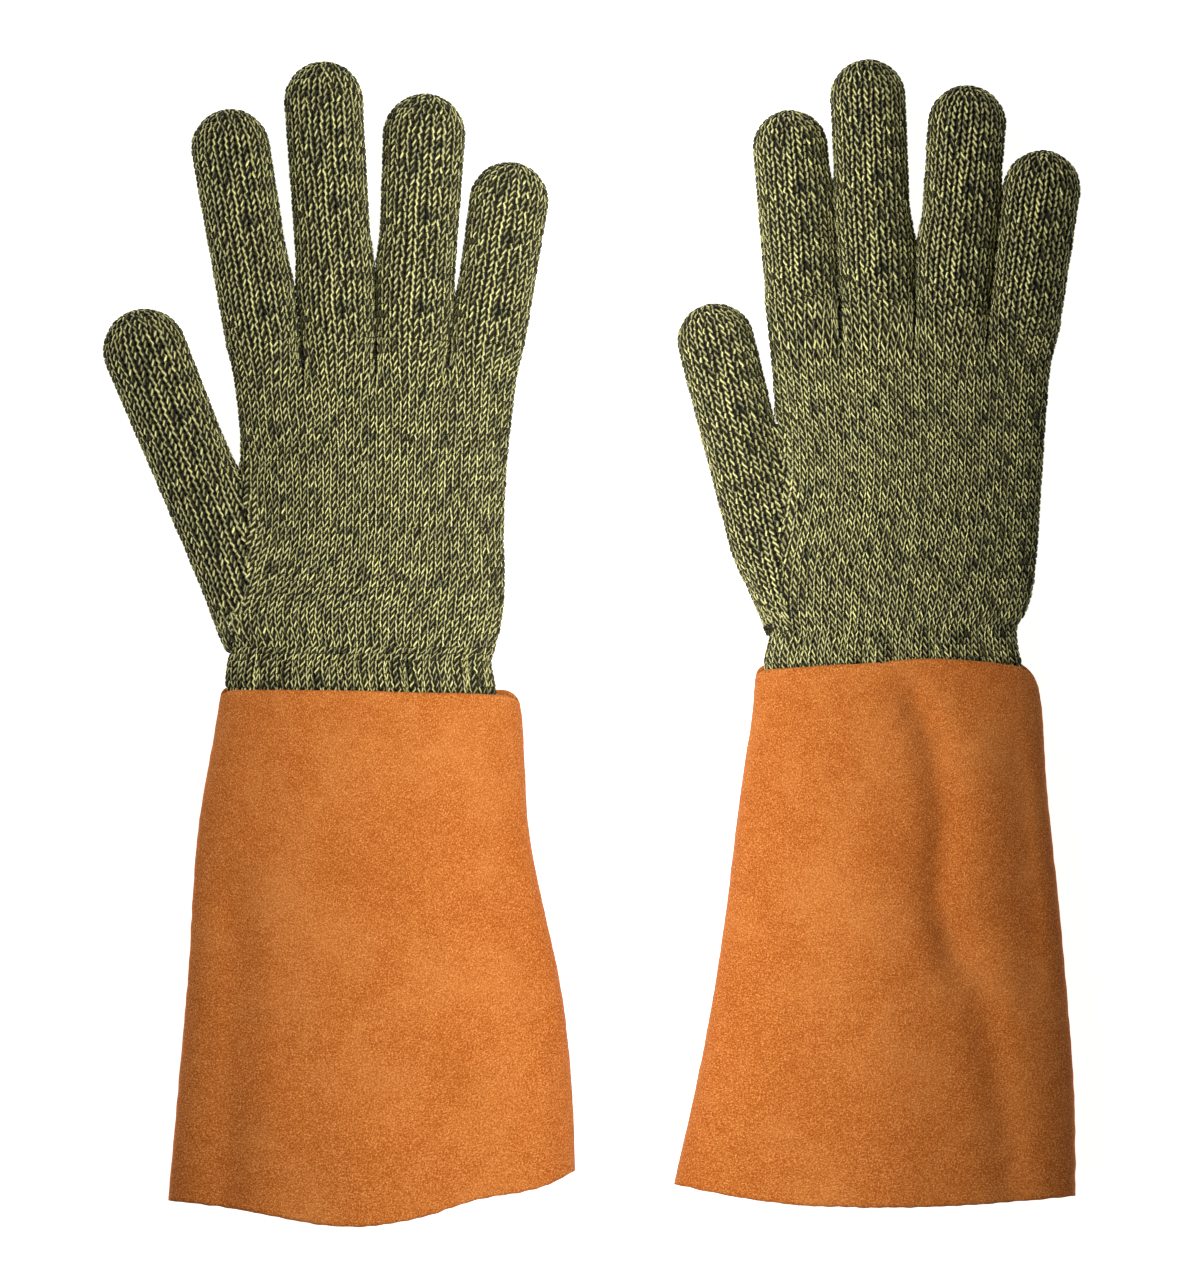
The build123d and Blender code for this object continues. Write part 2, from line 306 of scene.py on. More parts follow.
def oval_box(rows, y):
    """Middle and half-size of the hand's section at y, across and then in height."""
    left, right, low, high = (curve(rows, column, y) for column in (1, 2, 3, 4))
    return (left + right) / 2, (right - left) / 2 - CLOTH, (low + high) / 2, (high - low) / 2 - CLOTH


def oval(rows, turn, y):
    """Point on the hand's flat oval; turn runs 0 to 1 from its left side, over the top, to the left again."""
    x_middle, half_width, z_middle, half_height = oval_box(rows, y)
    angle = pi - np.interp(np.mod(turn, 1), OVAL_SHARE, OVAL_ANGLE)
    x = x_middle + half_width * squared_off(np.cos(angle), OVAL_POWER)
    z = z_middle + half_height * squared_off(np.sin(angle), OVAL_POWER)
    return np.stack([x, y + 0 * x, z], -1)


def touch_swell(touch, reach):
    """How far a finger's side swells out towards its neighbour, up to the reach where they part."""
    end, amount = touch
    if not amount:
        return 0 * reach
    least = max(0.35, 0.42 / amount)
    return amount * np.clip(0.35 + 0.65 * reach / end, least, 1) * (1 - smoothstep(reach, end, end + PARTING))


def finger_point(finger, angle, reach, spread=None):
    """Point on a finger: angle 0 is its right side and pi/2 its top; reach runs along it and over its tip.

    spread is its half-width at the base where it goes on into the palm.
    """
    radius = finger.tip_width / 2 - CLOTH
    share = np.clip(reach / finger.length, 0, 1)
    width = finger.base_width + (finger.tip_width - finger.base_width) * share
    half_width = width / 2 - CLOTH
    if spread is not None:
        half_width = np.where(reach < 0, spread - CLOTH + (reach / 30) * 1.4, half_width)
    half_height = finger.thickness / 2 - CLOTH
    bend = np.clip((reach - finger.length) / radius, 0, pi / 2)
    scale = np.cos(bend)
    distance = np.minimum(reach, finger.length) + radius * np.sin(bend)
    cos = np.cos(angle)
    swell = np.where(cos > 0, touch_swell(finger.right_touch, reach), touch_swell(finger.left_touch, reach))
    side = (half_width + swell * np.abs(cos)) * scale * cos
    return finger.place(distance, side, finger.height + half_height * scale * np.sin(angle))


def root_section(glove, reach):
    """Half-width, half-height and middle height of the thumb's root, which narrows into the palm."""
    thumb = glove.thumb
    full = smoothstep(reach, -THUMB_ROOT, glove.root_full)
    half_width = (thumb.base_width / 2 - CLOTH) * (glove.root_share + (1 - glove.root_share) * full)
    half_height = (thumb.thickness / 2 - CLOTH) * (0.9 + 0.1 * full)
    return half_width, half_height, thumb.height + ROOT_RISE * (1 - smoothstep(reach, -THUMB_ROOT, 0))


def thumb_distance(glove, p):
    """Rough signed distance of points from the thumb and its root."""
    reach, side = glove.thumb.local(p)
    half_width, half_height, height = root_section(glove, reach)
    r = np.hypot(side / half_width, (p[..., 2] - height) / half_height)
    body = (r - 1) * half_height * np.clip(r, 0.4, 1) ** 0.2
    below = np.maximum(-THUMB_ROOT - reach, 0)
    return np.where(body > 0, np.hypot(body, below), body + below)


def palm_distance(glove, p):
    """Rough signed distance of points from the flat oval of the hand."""
    x_middle, a, z_middle, b = oval_box(glove.palm, p[..., 1])
    u, w = np.abs(p[..., 0] - x_middle) / a, np.abs(p[..., 2] - z_middle) / b
    r = (u ** OVAL_POWER + w ** OVAL_POWER) ** (1 / OVAL_POWER) + 1e-9
    slope = np.hypot((u / r) ** (OVAL_POWER - 1) / a, (w / r) ** (OVAL_POWER - 1) / b)
    return (r - 1) / np.maximum(slope, 1e-6)


def smooth_union(a, b, k):
    """Signed distance from the union of two bodies, with a hollow of size k where they meet."""
    h = np.clip(0.5 + 0.5 * (b - a) / k, 0, 1)
    return b + (a - b) * h - k * h * (1 - h)


def onto_union(p, normal, other_distance):
    """Move points of one surface outwards onto its smooth union with another."""
    moved = np.zeros(p.shape[:-1])
    for _ in range(UNION_STEPS):
        gap = smooth_union(moved, other_distance(p + normal * moved[..., None]), WEB)
        moved = moved + np.clip(-gap, 0, 5)
    return p + normal * moved[..., None]


def normals(surface, u, v, du=1e-3, dv=0.05):
    """Outward normals of a surface(u, v) whose u runs over the top from left to right and whose v runs up."""
    along_u = surface(u + du, v) - surface(u - du, v)
    along_v = surface(u, v + dv) - surface(u, v - dv)
    return unit(np.cross(along_u, along_v))


@dataclass
class Crease:
    """A soft hollow (negative depth) or swelling along a line of stops (x, y)."""
    stops: list
    depth: float
    width: float

    def __call__(self, x, y):
        nearest = np.full(np.shape(x), 1e9)
        for (x0, y0), (x1, y1) in zip(self.stops, self.stops[1:]):
            length = (x1 - x0) ** 2 + (y1 - y0) ** 2
            t = np.clip(((x - x0) * (x1 - x0) + (y - y0) * (y1 - y0)) / length, 0, 1)
            nearest = np.minimum(nearest, np.hypot(x - x0 - t * (x1 - x0), y - y0 - t * (y1 - y0)))
        return self.depth * np.exp(-((nearest / self.width) ** 2))


LEFT_CREASES = [
    Crease([(-112, 62), (-103, 69), (-90, 78), (-77, 85)], -2.3, 4.5),
    Crease([(-78, 74), (-66, 74), (-54, 79), (-45, 87)], -2.1, 4.0),
    Crease([(-100, 92), (-90, 88), (-80, 84)], -1.5, 4.0),
    Crease([(-112, 40), (-100, 52), (-82, 60)], -1.2, 6.0),
    Crease([(-99.5, 104), (-98.5, 92)], -1.8, 3.6),
    Crease([(-73.8, 104), (-72.5, 91)], -1.8, 3.6),
    Crease([(-48.2, 103), (-50.5, 91)], -1.8, 3.6),
    Crease([(-45, 20), (-42, 50), (-40, 75)], 1.0, 9.0),
    Crease([(-95, 20), (-80, 34), (-72, 50)], 0.8, 10.0),
]
RIGHT_CREASES = [
    Crease([(84, 106), (98, 98), (112, 104)], -0.7, 5.0),
    Crease([(112, 104), (124, 97), (140, 100)], -0.7, 5.0),
    Crease([(85.5, 114), (86.5, 102)], -1.6, 3.6),
    Crease([(111.5, 113), (112, 101)], -1.6, 3.6),
    Crease([(137.2, 112), (136.5, 100)], -1.6, 3.6),
    Crease([(72, 30), (80, 48), (84, 66)], -0.8, 6.0),
    Crease([(100, 30), (104, 60), (104, 84)], 0.7, 12.0),
    Crease([(132, 20), (138, 50), (136, 84)], -0.5, 9.0),
]


class Palm:
    """Surface of the hand; u is a share of the way round and v is the row's y at the middle."""

    def __init__(self, glove):
        self.glove = glove
        self.low = glove.palm[0][0]
        self.high = min(f.start[1] for f in glove.fingers) + 0.5
        self.waves = Waves(11 if glove.palm_up else 12, 34)

    def top_row(self, u, v):
        """The row of finger roots, drawn down along the fingers' own lines."""
        q = np.mod(u, 1) * PALM_WALES
        half = PALM_WALES / 2
        below = q >= half
        step = pi / (FINGER_WALES / 2)
        k = np.where(below, q - half, q)
        number = np.clip(np.floor((k - 0.5) / FINGER_FACE_WALES), 0, 3).astype(int)
        local = k - number * FINGER_FACE_WALES
        number = np.where(below, 3 - number, number)
        angle = np.where(below, -local * step, pi - local * step)
        out = np.zeros(q.shape + (3,))
        for i, finger in enumerate(self.glove.fingers):
            at = finger_point(finger, angle, v - self.high, self.glove.spread)
            out = np.where((number == i)[..., None], at, out)
        return out

    def raw(self, u, v):
        """The surface before the thumb's root and the creases."""
        u, v = np.broadcast_arrays(u, v)
        flat = oval(self.glove.palm, u, v)
        top = self.top_row(u, v)
        mix = smoothstep(v, self.high - FINGERS_SHOW, self.high - 1)
        deep = smoothstep(v, self.high - 8, self.high + 1.5) ** 1.6
        share = np.stack([mix, mix, deep], -1)
        return flat * (1 - share) + top * share

    def __call__(self, u, v):
        u, v = np.broadcast_arrays(u, v)
        n = normals(self.raw, u, v)
        p = onto_union(self.raw(u, v), n, lambda at: thumb_distance(self.glove, at))
        x, y, z = p[..., 0], p[..., 1], p[..., 2]
        creases = LEFT_CREASES if self.glove.palm_up else RIGHT_CREASES
        relief = 0.30 * self.waves(x, y) - 0.3 + sum(crease(x, y) for crease in creases)
        fade = smoothstep(y, self.low + 2, self.low + 16) * (1 - smoothstep(y, self.high - 7, self.high))
        return p + n * (relief * fade * smoothstep(z, 12, 20))[..., None]


class FingerTube:
    """Surface of a finger; u is a share of the way round and v the reach from its base."""

    def __init__(self, finger):
        self.finger = finger
        self.end = finger.length + (finger.tip_width / 2 - CLOTH) * pi / 2

    def __call__(self, u, v):
        return finger_point(self.finger, pi - 2 * pi * u, v)


class Thumb(FingerTube):
    """Surface of the thumb with its root, which sinks into the palm."""

    def __init__(self, glove):
        super().__init__(glove.thumb)
        self.glove = glove

    def raw(self, u, v):
        """The surface before its smooth union with the palm."""
        angle = pi - 2 * pi * u
        half_width, half_height, height = root_section(self.glove, v)
        root = self.finger.place(v, half_width * np.cos(angle), height + half_height * np.sin(angle))
        return np.where((v < 0)[..., None], root, super().__call__(u, v))

    def __call__(self, u, v):
        u, v = np.broadcast_arrays(u, v)
        p = self.raw(u, v)
        n = normals(self.raw, u, np.minimum(v, self.finger.length))
        near = (v < NEAR_PALM)[..., None]
        return np.where(near, onto_union(p, n, lambda at: palm_distance(self.glove, at)), p)


class Wrist:
    """Surface of the gathered wrist, continuing the palm downwards into the cuff."""

    def __init__(self, glove, palm):
        self.glove = glove
        self.palm = palm
        self.start = palm.low + 9
        self.waves = Waves(31 if glove.palm_up else 32, 6.5)

    def __call__(self, u, v):
        u, v = np.broadcast_arrays(u, v)
        lower = oval(self.glove.wrist, u, v)
        upper = self.palm(u, np.maximum(v, self.palm.low + 0.2))
        mix = smoothstep(v, self.palm.low - 1, self.palm.low + 6)[..., None]
        p = lower * (1 - mix) + upper * mix
        n = np.zeros(p.shape)
        n[..., 2] = np.sign(p[..., 2] - WRIST_MIDDLE)
        gather = smoothstep(-v, -self.palm.low - 4, -self.palm.low + 4)
        gather = gather * (1 - smoothstep(-v, -self.palm.low + 14, -self.palm.low + 22))
        return p + n * (0.85 * self.waves(p[..., 0], p[..., 1] * 0.25) * gather)[..., None]


# ---- mesh making
def add_object(name, data):
    obj = bpy.data.objects.new(name, data)
    bpy.context.scene.collection.objects.link(obj)
    return obj


def mesh_object(name, verts, faces, uvs=None):
    """Object from vertices in millimetres and an array of quads; uvs are {layer: values for each corner}."""
    mesh = bpy.data.meshes.new(name)
    verts = np.asarray(verts, float) * MM
    faces = np.asarray(faces, np.int32)
    mesh.vertices.add(len(verts))
    mesh.vertices.foreach_set("co", verts.astype(np.float32).ravel())
    mesh.loops.add(faces.size)
    mesh.loops.foreach_set("vertex_index", faces.ravel())
    mesh.polygons.add(len(faces))
    mesh.polygons.foreach_set("loop_start", np.arange(0, faces.size, faces.shape[1], dtype=np.int32))
    mesh.polygons.foreach_set("use_smooth", np.ones(len(faces), bool))
    for layer, values in (uvs or {}).items():
        mesh.uv_layers.new(name=layer).data.foreach_set("uv", np.asarray(values, np.float32).ravel())
    mesh.update(calc_edges=True)
    mesh.validate()
    return add_object(name, mesh)


def join(name, parts, materials):
    """One object from (verts, faces, {uv layer: values}, material index) parts."""
    starts = np.cumsum([0] + [len(part[0]) for part in parts])
    faces = np.concatenate([part[1] + start for part, start in zip(parts, starts)])
    uvs = {layer: np.concatenate([part[2][layer] for part in parts]) for layer in parts[0][2]}
    obj = mesh_object(name, np.concatenate([part[0] for part in parts]), faces, uvs)
    slots = np.concatenate([np.full(len(part[1]), part[3], np.int32) for part in parts])
    obj.data.polygons.foreach_set("material_index", slots)
    for material in materials:
        obj.data.materials.append(material)
    return obj


def tube(path, side, front, width, depth, sides, run):
    """Vertices, faces and uvs of a tube round a path, by point and by side.

    width and depth are its half sizes along the side and front vectors, and run is the uv at each point. A run
    with one value more than the path closes the tube into a ring.
    """
    around = np.arange(sides)[:, None] * 2 * pi / sides
    verts = (path[:, None] + side[:, None] * np.cos(around) * width + front[:, None] * np.sin(around) * depth)
    i, k = np.arange(len(run) - 1)[:, None], np.arange(sides)[None, :]
    nxt, turn = (i + 1) % len(path), (k + 1) % sides
    faces = np.stack([i * sides + k, nxt * sides + k, nxt * sides + turn, i * sides + turn], -1)
    low, high = run[:-1][:, None] + 0 * k, run[1:][:, None] + 0 * k
    share, next_share = k / sides + 0 * i, (k + 1) / sides + 0 * i
    corners = (low, share), (high, share), (high, next_share), (low, next_share)
    return verts, faces, np.stack([np.stack(corner, -1) for corner in corners], 2)


def yarn_ring(surface, row, wales, pitch, slant, v_of, keep=None):
    """One closed course of yarn: its loops lie on surface(u, v), where v_of turns rows into the surface's v."""
    swing, lean = slant
    count = wales * LOOP_POINTS
    t = np.arange(count) * 2 * pi / LOOP_POINTS
    stitch = np.arange(count) // LOOP_POINTS
    tall, shift, lift = (spread * rng.standard_normal(wales)[stitch] for spread in LOOP_UNEVEN)
    column = t / (2 * pi) + swing * np.sin(2 * t) + shift * np.sin(t) ** 2
    height = LOOP_HALF_HEIGHT * (1 + tall) * np.cos(t)
    depth = -LOOP_DEPTH * np.cos(2 * t) + lift * np.sin(t) ** 2
    u = (column + lean * height) / wales
    v = v_of(row + height)
    base = surface(u, v)
    normal = normals(surface, u, v)
    path = base + normal * depth[:, None]
    tangent = unit(np.roll(path, -1, 0) - np.roll(path, 1, 0))
    side = unit(np.cross(tangent, normal))
    half_width = np.minimum(YARN_SHARE * pitch, YARN_WIDEST)[:, None, None]
    ends = np.arange(count + 1) * 2 * pi / LOOP_POINTS
    run = (ends + TWIST_EASE * np.sin(2 * ends)) / (2 * pi)
    verts, faces, yarn = tube(path, side, np.cross(side, tangent), half_width, YARN_DEPTH, YARN_SIDES, run)
    place = np.zeros(faces.shape + (2,))
    place[..., 0], place[..., 1] = stitch[:, None, None], row
    if keep is not None:
        kept = keep(base)
        kept = kept & np.roll(kept, -1)
        faces, yarn, place = faces[kept], yarn[kept], place[kept]
    uvs = {"yarn": yarn.reshape(-1, 2), "stitch": place.reshape(-1, 2)}
    return verts.reshape(-1, 3), faces.reshape(-1, 4), uvs, 0


def backing(surface, v_values, wales, keep=None):
    """The closed cloth behind the loops, as a smooth tube."""
    count = wales * 2
    uu, vv = np.meshgrid(np.arange(count) / count, v_values)
    base = surface(uu, vv)
    points = (base - normals(surface, uu, vv) * BACKING_INSET).reshape(-1, 3)
    rows = len(v_values)
    r = np.arange(rows - 1)[:, None]
    c = np.arange(count)[None, :]
    nxt = (c + 1) % count
    faces = np.stack([r * count + c, r * count + nxt, (r + 1) * count + nxt, (r + 1) * count + c], -1)
    if keep is not None:
        kept = keep(base.reshape(-1, 3)).reshape(rows, count)
        faces = faces[kept[:-1] | kept[1:]]
    faces = faces.reshape(-1, 4)
    uv = np.stack([uu.reshape(-1)[faces] * wales, vv.reshape(-1)[faces] / COURSE], -1).reshape(-1, 2)
    return points, faces, {"yarn": uv, "stitch": uv}, 1


def ring_width(surface, v, wales):
    """Width of a column at each point of a row."""
    u = np.arange(wales) / wales
    p = surface(u, np.full(wales, v))
    width = np.linalg.norm(np.roll(p, -1, 0) - np.roll(p, 1, 0), axis=1) / 2
    return np.repeat(width, LOOP_POINTS)


def knit_piece(name, surface, v_low, v_high, wales_at, slant, materials, keep=None, inner=None):
    """Rows of yarn loops over their backing cloth, from v_low to v_high, with wales_at(v) columns round.

    inner is a (surface, keep, lowest v) of the same rows where they run on inside another piece, seen only when
    a joint opens.
    """
    parts = []
    rows = max(int(round((v_high - v_low) / COURSE)), 1)
    height = (v_high - v_low) / rows

    def v_of(row):
        return v_low + (row + 0.5) * height

    for row in range(rows):
        wales = wales_at(v_of(row))
        pitch = ring_width(surface, float(v_of(row)), wales)
        parts.append(yarn_ring(surface, row, wales, pitch, slant, v_of, keep))
        if inner and v_of(row) > inner[2]:
            parts.append(yarn_ring(inner[0], row, wales, pitch, slant, v_of, inner[1]))
    edges = np.linspace(v_low, v_high, rows + 1)
    parts.append(backing(surface, edges, wales_at(v_low), keep))
    if inner:
        parts.append(backing(inner[0], edges[edges > inner[2]], wales_at(v_low), inner[1]))
    return join(name, [part for part in parts if len(part[1])], materials)


# ---- materials
def new_material(name, settings):
    """A material and its shader, with these constant settings."""
    material = bpy.data.materials.new(name)
    material.use_nodes = True
    tree = material.node_tree
    tree.nodes.clear()
    out = tree.nodes.new("ShaderNodeOutputMaterial")
    shader = tree.nodes.new("ShaderNodeBsdfPrincipled")
    tree.links.new(shader.outputs["BSDF"], out.inputs["Surface"])
    for key, value in settings.items():
        shader.inputs[key].default_value = value
    return material, tree, shader


def feed(tree, socket, value):
    """Link a socket to another node's output, or give it a value of its own."""
    if hasattr(value, "links"):
        tree.links.new(value, socket)
    else:
        socket.default_value = value


def node(tree, kind, settings=None, **inputs):
    made = tree.nodes.new(kind)
    for key, value in (settings or {}).items():
        setattr(made, key, value)
    for key, value in inputs.items():
        feed(tree, made.inputs[key], value)
    return made


def uv_map(tree, layer):
    return node(tree, "ShaderNodeUVMap", {"uv_map": layer}).outputs[0]


def noise(tree, where, scale, detail, roughness=0.5, distortion=0.0):
    return node(tree, "ShaderNodeTexNoise", Vector=where, Scale=scale, Detail=detail, Roughness=roughness,
                Distortion=distortion).outputs["Fac"]


def ramp(tree, factor, stops):
    made = tree.nodes.new("ShaderNodeValToRGB")
    elements = made.color_ramp.elements
    while len(elements) < len(stops):
        elements.new(0.5)
    for element, (place, colour) in zip(elements, stops):
        element.position = place
        element.color = (*colour, 1)
    tree.links.new(factor, made.inputs["Fac"])
    return made.outputs["Color"]


def math_node(tree, operation, *values):
    made = node(tree, "ShaderNodeMath", {"operation": operation})
    for socket, value in zip(made.inputs, values):
        feed(tree, socket, value)
    return made.outputs[0]


def weighted(tree, *terms):
    """Sum of (value, weight) terms."""
    parts = [math_node(tree, "MULTIPLY", value, weight) for value, weight in terms]
    total = parts[0]
    for part in parts[1:]:
        total = math_node(tree, "ADD", total, part)
    return total


def mix_colour(tree, factor, a, b, blend="MIX"):
    made = node(tree, "ShaderNodeMix", {"data_type": "RGBA", "blend_type": blend})
    for socket, value in ((made.inputs["Factor"], factor), (made.inputs[6], a), (made.inputs[7], b)):
        feed(tree, socket, value)
    return made.outputs[2]


def paint(tree, shader, colour, height=None, strength=1.0, distance=0.0):
    """Link a shader's colour, and a bump from a height, whose unit is distance metres."""
    tree.links.new(colour, shader.inputs["Base Color"])
    if height is not None:
        bump = node(tree, "ShaderNodeBump", Height=height, Strength=strength, Distance=distance)
        tree.links.new(bump.outputs[0], shader.inputs["Normal"])


PLY_WANDER = 0.75  # how far the plies stray from one leg to the next, in turns
PLY_START = 0.61  # where the plies start round the yarn
YARN_BRIGHT = (0.80, 0.76, 0.345)
YARN_MID = (0.145, 0.136, 0.039)
YARN_DARK = (0.025, 0.0225, 0.0085)
SUEDE_LIGHT = (0.745, 0.293, 0.079)
SUEDE_MID = (0.53, 0.146, 0.0195)
SUEDE_DEEP = (0.35, 0.077, 0.007)
SUEDE_BRUSHED = (0.61, 0.222, 0.053)


def yarn_material(name, twist):
    """Marled yarn: a bright ply and a dark one twisted together, with fibres along them."""
    material, tree, shader = new_material(name, {
        "Roughness": 0.85, "Specular IOR Level": 0.25, "Sheen Weight": 0.05, "Sheen Roughness": 0.5})
    uv, place = uv_map(tree, "yarn"), uv_map(tree, "stitch")
    along, around = node(tree, "ShaderNodeSeparateXYZ", Vector=uv).outputs[:2]
    course = node(tree, "ShaderNodeSeparateXYZ", Vector=place).outputs[1]
    legs = math_node(tree, "MULTIPLY", along, 2.0)
    stray = noise(tree, node(tree, "ShaderNodeCombineXYZ", X=legs, Y=course).outputs[0], 0.9, 2.0)
    stray = math_node(tree, "MULTIPLY", math_node(tree, "SUBTRACT", stray, 0.5), PLY_WANDER)
    turns = math_node(tree, "ADD", around, math_node(tree, "MULTIPLY", along, twist))
    phase = math_node(tree, "MULTIPLY", math_node(tree, "ADD", turns, stray), 2.0)
    ply = math_node(tree, "FRACT", math_node(tree, "ADD", phase, PLY_START))
    fibre_uv = node(tree, "ShaderNodeMapping", Vector=uv, Scale=(9, 26, 1))
    fibre = noise(tree, fibre_uv.outputs[0], 1.0, 3.0)
    uneven = math_node(tree, "MULTIPLY", math_node(tree, "SUBTRACT", fibre, 0.5), 0.5)
    colour = ramp(tree, math_node(tree, "ADD", ply, uneven), [
        (0.0, YARN_DARK), (0.32, YARN_DARK), (0.46, YARN_MID), (0.560, YARN_BRIGHT),
        (0.640, YARN_BRIGHT), (0.74, YARN_MID), (0.89, YARN_DARK), (1.0, YARN_DARK),
    ])
    # factors that the yarn's colour is multiplied by: soft patches and each leg's own tone, which are the marled
    # yarn's own uneven colour, and painted shade at the dips at a leg's ends, where the yarn passes behind its
    # neighbours
    leg = node(tree, "ShaderNodeCombineXYZ", X=math_node(tree, "FLOOR", legs), Y=course)
    chance = node(tree, "ShaderNodeTexWhiteNoise", Vector=leg.outputs[0]).outputs["Value"]
    for factor, stops in (
        (noise(tree, place, 0.45, 3.0, 0.7),
         [(0.30, (0.34, 0.34, 0.36)), (0.47, (0.95, 0.95, 0.95)), (0.72, (1.2, 1.2, 1.1))]),
        (chance, [(0.0, (0.50, 0.50, 0.53)), (0.45, (0.92, 0.92, 0.90)), (1.0, (1.32, 1.32, 1.28))]),
        # painted shade: darker at both ends of each leg, where it passes behind the loops next to it
        (math_node(tree, "PINGPONG", legs, 0.5), [(0.360, (0.26, 0.25, 0.21)), (0.425, (1.0, 1.0, 1.0))]),
    ):
        colour = mix_colour(tree, 1.0, colour, ramp(tree, factor, stops), "MULTIPLY")
    groove = math_node(tree, "PINGPONG", ply, 0.5)
    paint(tree, shader, colour, weighted(tree, (groove, 1.0), (fibre, 0.45)), 0.55, 0.00022)
    return material


def painted_shade_backing_material():
    """The back of the knit, painted near black as shade behind the loops: rows of purl bumps, with painted shade in
    the grooves between them.
    """
    material, tree, shader = new_material("knit_backing_painted_shade", {"Roughness": 0.95, "Specular IOR Level": 0.1})
    wave = node(tree, "ShaderNodeTexWave", {"bands_direction": "Y"}, Vector=uv_map(tree, "stitch"), Scale=0.32,
                Distortion=1.5).outputs["Fac"]
    # painted shade: near black behind the loops, darkest in the grooves between the purl bumps
    colour = ramp(tree, wave, [(0.2, (0.021, 0.019, 0.008)), (0.9, (0.07, 0.066, 0.022))])
    paint(tree, shader, colour, wave, 0.4, 0.0004)
    return material


def suede_material():
    """Split leather: clouds of brushed nap, mottling, and a fine short grain."""
    material, tree, shader = new_material("suede", {
        "Roughness": 0.92, "Specular IOR Level": 0.18, "Sheen Weight": 0.10, "Sheen Roughness": 0.45,
        "Sheen Tint": (1.0, 0.62, 0.35, 1)})
    where = uv_map(tree, "cut")
    cloud = noise(tree, where, 0.030, 4.0, 0.62, 0.6)
    mottle = noise(tree, where, 0.22, 4.0, 0.65)
    grain = noise(tree, where, 1.9, 2.0, 0.6, 0.7)
    nap = noise(tree, where, 3.6, 2.0, 0.6)
    level = weighted(tree, (cloud, 0.08), (mottle, 0.07), (grain, 0.56), (nap, 0.27))
    colour = ramp(tree, level, [(0.430, SUEDE_DEEP), (0.50, SUEDE_MID), (0.575, SUEDE_LIGHT)])
    brushed = ramp(tree, cloud, [(0.47, (0, 0, 0)), (0.66, (0.24, 0.24, 0.24))])
    colour = mix_colour(tree, brushed, colour, (*SUEDE_BRUSHED, 1))
    paint(tree, shader, colour, weighted(tree, (grain, 0.6), (nap, 0.4)), 0.5, 0.0006)
    return material


def thread_material():
    """Three-ply sewing thread: twisted plies with fine fibres; each ply is painted darker towards its edges as shade
    in the grooves between plies, and the fibre noise is the thread's own uneven tone.
    """
    material, tree, shader = new_material("seam_thread", {"Roughness": 0.7})
    where = uv_map(tree, "yarn")
    along, around = node(tree, "ShaderNodeSeparateXYZ", Vector=where).outputs[:2]
    turns = math_node(tree, "ADD", around, math_node(tree, "MULTIPLY", along, 0.8))
    ply = math_node(tree, "PINGPONG", math_node(tree, "MULTIPLY", turns, 3.0), 0.5)
    level = weighted(tree, (ply, 1.0), (noise(tree, where, 9.0, 3.0), 0.4))
    # painted shade in the grooves between plies, where the height is low; the noise term is the thread's own uneven
    # tone
    colour = ramp(tree, level, [(0.2, (0.30, 0.13, 0.04)), (0.55, (0.62, 0.33, 0.11))])
    paint(tree, shader, colour, level, 0.6, 0.00015)
    return material


def floor_material():
    material, tree, shader = new_material("pale_floor", {
        "Roughness": 0.9, "Specular IOR Level": 0.1, "Emission Color": (1, 1, 1, 1), "Emission Strength": 0.92})
    grain = noise(tree, node(tree, "ShaderNodeTexCoord").outputs["Object"], 40.0, 4.0)
    paint(tree, shader, ramp(tree, grain, [(0.3, (0.93, 0.93, 0.92)), (0.7, (0.95, 0.95, 0.94))]))
    return material


# ---- hand of a glove
def declare(replaced):
    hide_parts(replaced)


